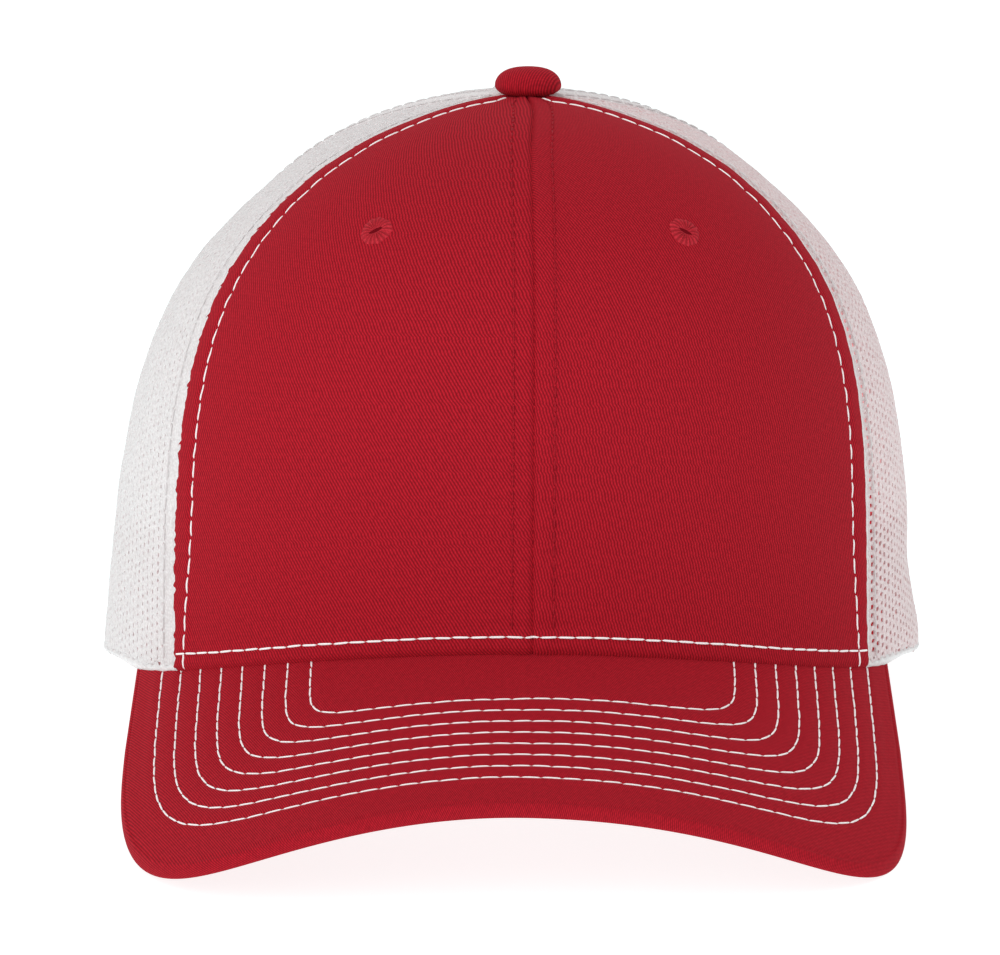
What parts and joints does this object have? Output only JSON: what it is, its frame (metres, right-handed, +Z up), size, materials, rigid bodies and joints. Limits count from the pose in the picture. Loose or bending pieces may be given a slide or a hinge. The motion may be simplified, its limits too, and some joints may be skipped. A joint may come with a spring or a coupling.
{
  "type": "trucker hat",
  "caption": "Trucker hat: red twill front with a curved stitched visor, white net sides and back, a covered top button and a snap strap.",
  "frame": {"origin": "centre of the box round the standing hat, on the surface that it stands on", "axes": "+Z up, -Y towards the visor, +X to the viewer's right when the visor faces the viewer"},
  "size_m": [0.1927, 0.259, 0.1475],
  "materials": {
    "red_twill": "cotton twill",
    "white_net": "knitted polyester net",
    "red_twill_board": "cotton twill over a board",
    "red_cover": "cotton twill over a button",
    "red_thread": "buttonhole thread",
    "red_band": "cotton band",
    "strap_plastic": "satin"
  },
  "bodies": {
    "root": {"front_panel_left": "red_twill", "front_panel_right": "red_twill", "side_panel_left": "white_net", "side_panel_right": "white_net", "back_panel_left": "white_net", "back_panel_right": "white_net", "visor": "red_twill_board", "top_button": "red_cover", "eyelet_left": "red_thread", "eyelet_right": "red_thread", "sweatband": "red_band", "snap_strap": "strap_plastic"}
  },
  "joints": []
}
